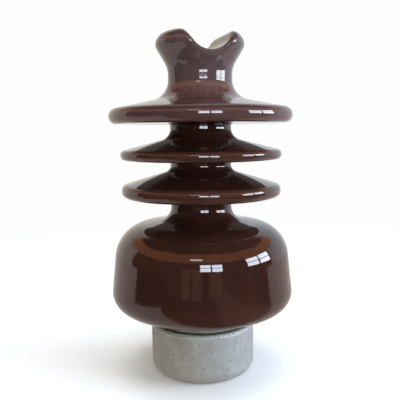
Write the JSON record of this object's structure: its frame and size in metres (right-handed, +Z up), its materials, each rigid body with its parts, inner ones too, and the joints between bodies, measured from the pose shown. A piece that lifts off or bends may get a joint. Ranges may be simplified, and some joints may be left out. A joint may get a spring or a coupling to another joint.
{
  "type": "line post insulator",
  "caption": "Tie-top line post insulator: sheds and a bell of brown glazed porcelain, cemented on a round galvanised iron base with a tapped stud hole.",
  "frame": {"origin": "middle of the base's seat, on the insulator's axis", "axes": "+Z up the axis from the base to the head; Y along the conductor groove; X across it"},
  "size_m": [0.1642, 0.1642, 0.305],
  "materials": {
    "brown_glaze": "gloss",
    "galvanised_iron": "matte",
    "sealing_mastic": "matte",
    "cement": "matte",
    "grit": "matte",
    "bitumen": "satin",
    "cork": "matte"
  },
  "bodies": {
    "root": {"porcelain_body": "brown_glaze", "base_casting": "galvanised_iron", "joint_seal": "sealing_mastic", "cement_joint": "cement", "grit_band": "grit", "bitumen_coat": "bitumen", "cushion_disc": "cork"}
  },
  "joints": []
}
